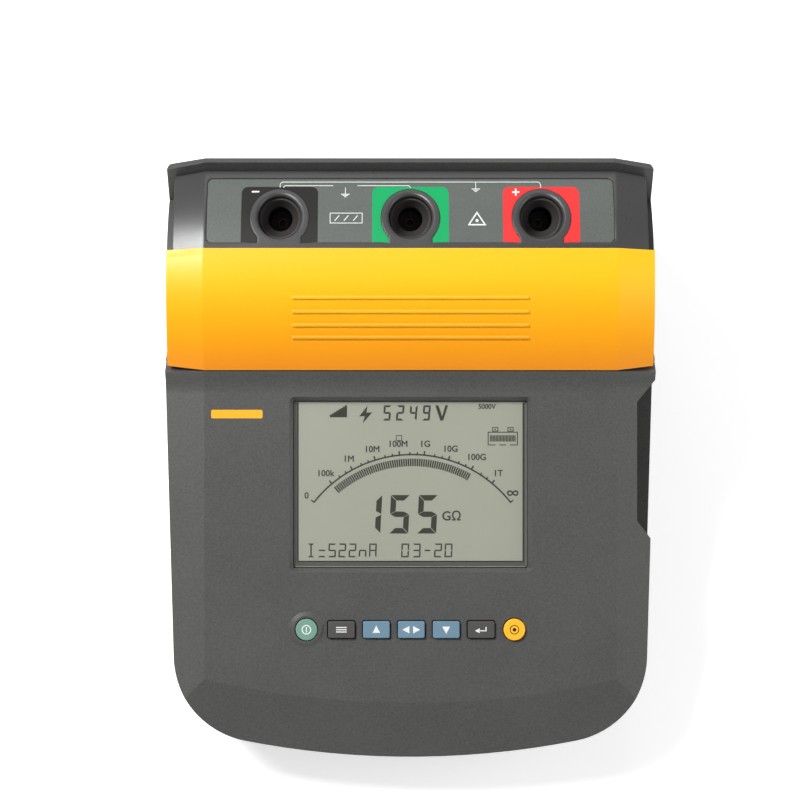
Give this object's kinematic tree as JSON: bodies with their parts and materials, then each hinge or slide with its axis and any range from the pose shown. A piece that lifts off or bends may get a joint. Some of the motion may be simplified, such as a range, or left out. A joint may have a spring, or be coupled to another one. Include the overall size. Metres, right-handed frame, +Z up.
{
  "type": "insulation resistance tester",
  "caption": "Sloping bench tester with a segment display, a row of keys and shrouded sockets under a turning terminal cover.",
  "frame": {"origin": "middle of the footprint on the table", "axes": "+X to the user's right, +Y away from the user, +Z up"},
  "size_m": [0.2408, 0.3339, 0.1698],
  "materials": {
    "case_grey": "fine textured dark grey moulding",
    "tub_grey": "fine textured charcoal moulding",
    "cover_yellow": "fine textured yellow moulding",
    "label_film": "printed grey-green film",
    "seal_rubber": "black rubber",
    "socket_plastic": "black insulating moulding",
    "contact_brass": "plated brass",
    "window_clear": "clear scratch-resistant pane",
    "lcd_glass": "grey-green reflective display",
    "backlight_white": "white diffuser",
    "frame_black": "black holder",
    "board_green": "green soldermask",
    "steel": "zinc-plated steel",
    "ferrite": "wound ferrite core",
    "film_blue": "coated component",
    "sink_aluminium": "anodised fins",
    "battery_case": "sealed battery case",
    "lead_insulation": "silicone insulation",
    "infrared_red": "dark red filter",
    "key_green": "green rubber-feel key",
    "key_grey": "dark grey key",
    "key_blue": "blue-grey key",
    "key_amber": "amber key"
  },
  "bodies": {
    "case": {"top_case": "case_grey", "terminal_deck": "case_grey", "bottom_case": "tub_grey", "battery_door": "tub_grey", "terminal_label": "label_film", "case_seal": "seal_rubber", "keypad_seal": "seal_rubber", "rubber_feet": "seal_rubber", "battery_pad": "seal_rubber", "socket_negative": "socket_plastic", "socket_guard": "socket_plastic", "socket_positive": "socket_plastic", "mains_inlet": "socket_plastic", "board_headers": "socket_plastic", "buzzer": "socket_plastic", "contact_negative": "contact_brass", "contact_guard": "contact_brass", "contact_positive": "contact_brass", "contact_nuts": "contact_brass", "battery_terminals": "contact_brass", "lcd_window": "window_clear", "lcd_panel": "lcd_glass", "backlight": "backlight_white", "lcd_frame": "frame_black", "key_switches": "frame_black", "range_relays": "frame_black", "display_board": "board_green", "main_board": "board_green", "charger_board": "board_green", "display_board_screws": "steel", "main_board_screws": "steel", "case_screws": "steel", "deck_screws": "steel", "battery_door_screws": "steel", "bracket_screws": "steel", "inlet_screws": "steel", "battery_bracket": "steel", "inlet_pins": "steel", "charger_spacers": "steel", "hv_transformer": "ferrite", "charger_transformer": "ferrite", "hv_capacitors": "film_blue", "divider_resistors": "film_blue", "charger_components": "film_blue", "heat_sink": "sink_aluminium", "battery": "battery_case", "hv_leads": "lead_insulation", "battery_leads": "lead_insulation", "inlet_leads": "lead_insulation", "ribbon_cable": "lead_insulation", "infrared_window": "infrared_red"},
    "terminal_cover": {"terminal_cover": "cover_yellow", "cover_guide_pins": "steel"},
    "key_power": {"key_power": "key_green"},
    "key_function": {"key_function": "key_grey"},
    "key_up": {"key_up": "key_blue"},
    "key_left_right": {"key_left_right": "key_blue"},
    "key_down": {"key_down": "key_blue"},
    "key_enter": {"key_enter": "key_grey"},
    "key_test": {"key_test": "key_amber"}
  },
  "joints": [
    {"name": "cover_turn", "type": "hinge", "parent": "case", "child": "terminal_cover", "pos_m": [0, 0.07124, 0.08788], "axis": [-1, 0, 0], "range_deg": [0, 32]},
    {"name": "key_power_press", "type": "slide", "parent": "case", "child": "key_power", "axis": [0, 0.4384, -0.8988], "range_m": [0, 0.0012], "stiffness_N_per_m": 300, "springref_m": -0.001},
    {"name": "key_function_press", "type": "slide", "parent": "case", "child": "key_function", "axis": [0, 0.4384, -0.8988], "range_m": [0, 0.0012], "stiffness_N_per_m": 300, "springref_m": -0.001},
    {"name": "key_up_press", "type": "slide", "parent": "case", "child": "key_up", "axis": [0, 0.4384, -0.8988], "range_m": [0, 0.0012], "stiffness_N_per_m": 300, "springref_m": -0.001},
    {"name": "key_left_right_press", "type": "slide", "parent": "case", "child": "key_left_right", "axis": [0, 0.4384, -0.8988], "range_m": [0, 0.0012], "stiffness_N_per_m": 300, "springref_m": -0.001},
    {"name": "key_down_press", "type": "slide", "parent": "case", "child": "key_down", "axis": [0, 0.4384, -0.8988], "range_m": [0, 0.0012], "stiffness_N_per_m": 300, "springref_m": -0.001},
    {"name": "key_enter_press", "type": "slide", "parent": "case", "child": "key_enter", "axis": [0, 0.4384, -0.8988], "range_m": [0, 0.0012], "stiffness_N_per_m": 300, "springref_m": -0.001},
    {"name": "key_test_press", "type": "slide", "parent": "case", "child": "key_test", "axis": [0, 0.4384, -0.8988], "range_m": [0, 0.0012], "stiffness_N_per_m": 300, "springref_m": -0.001}
  ]
}
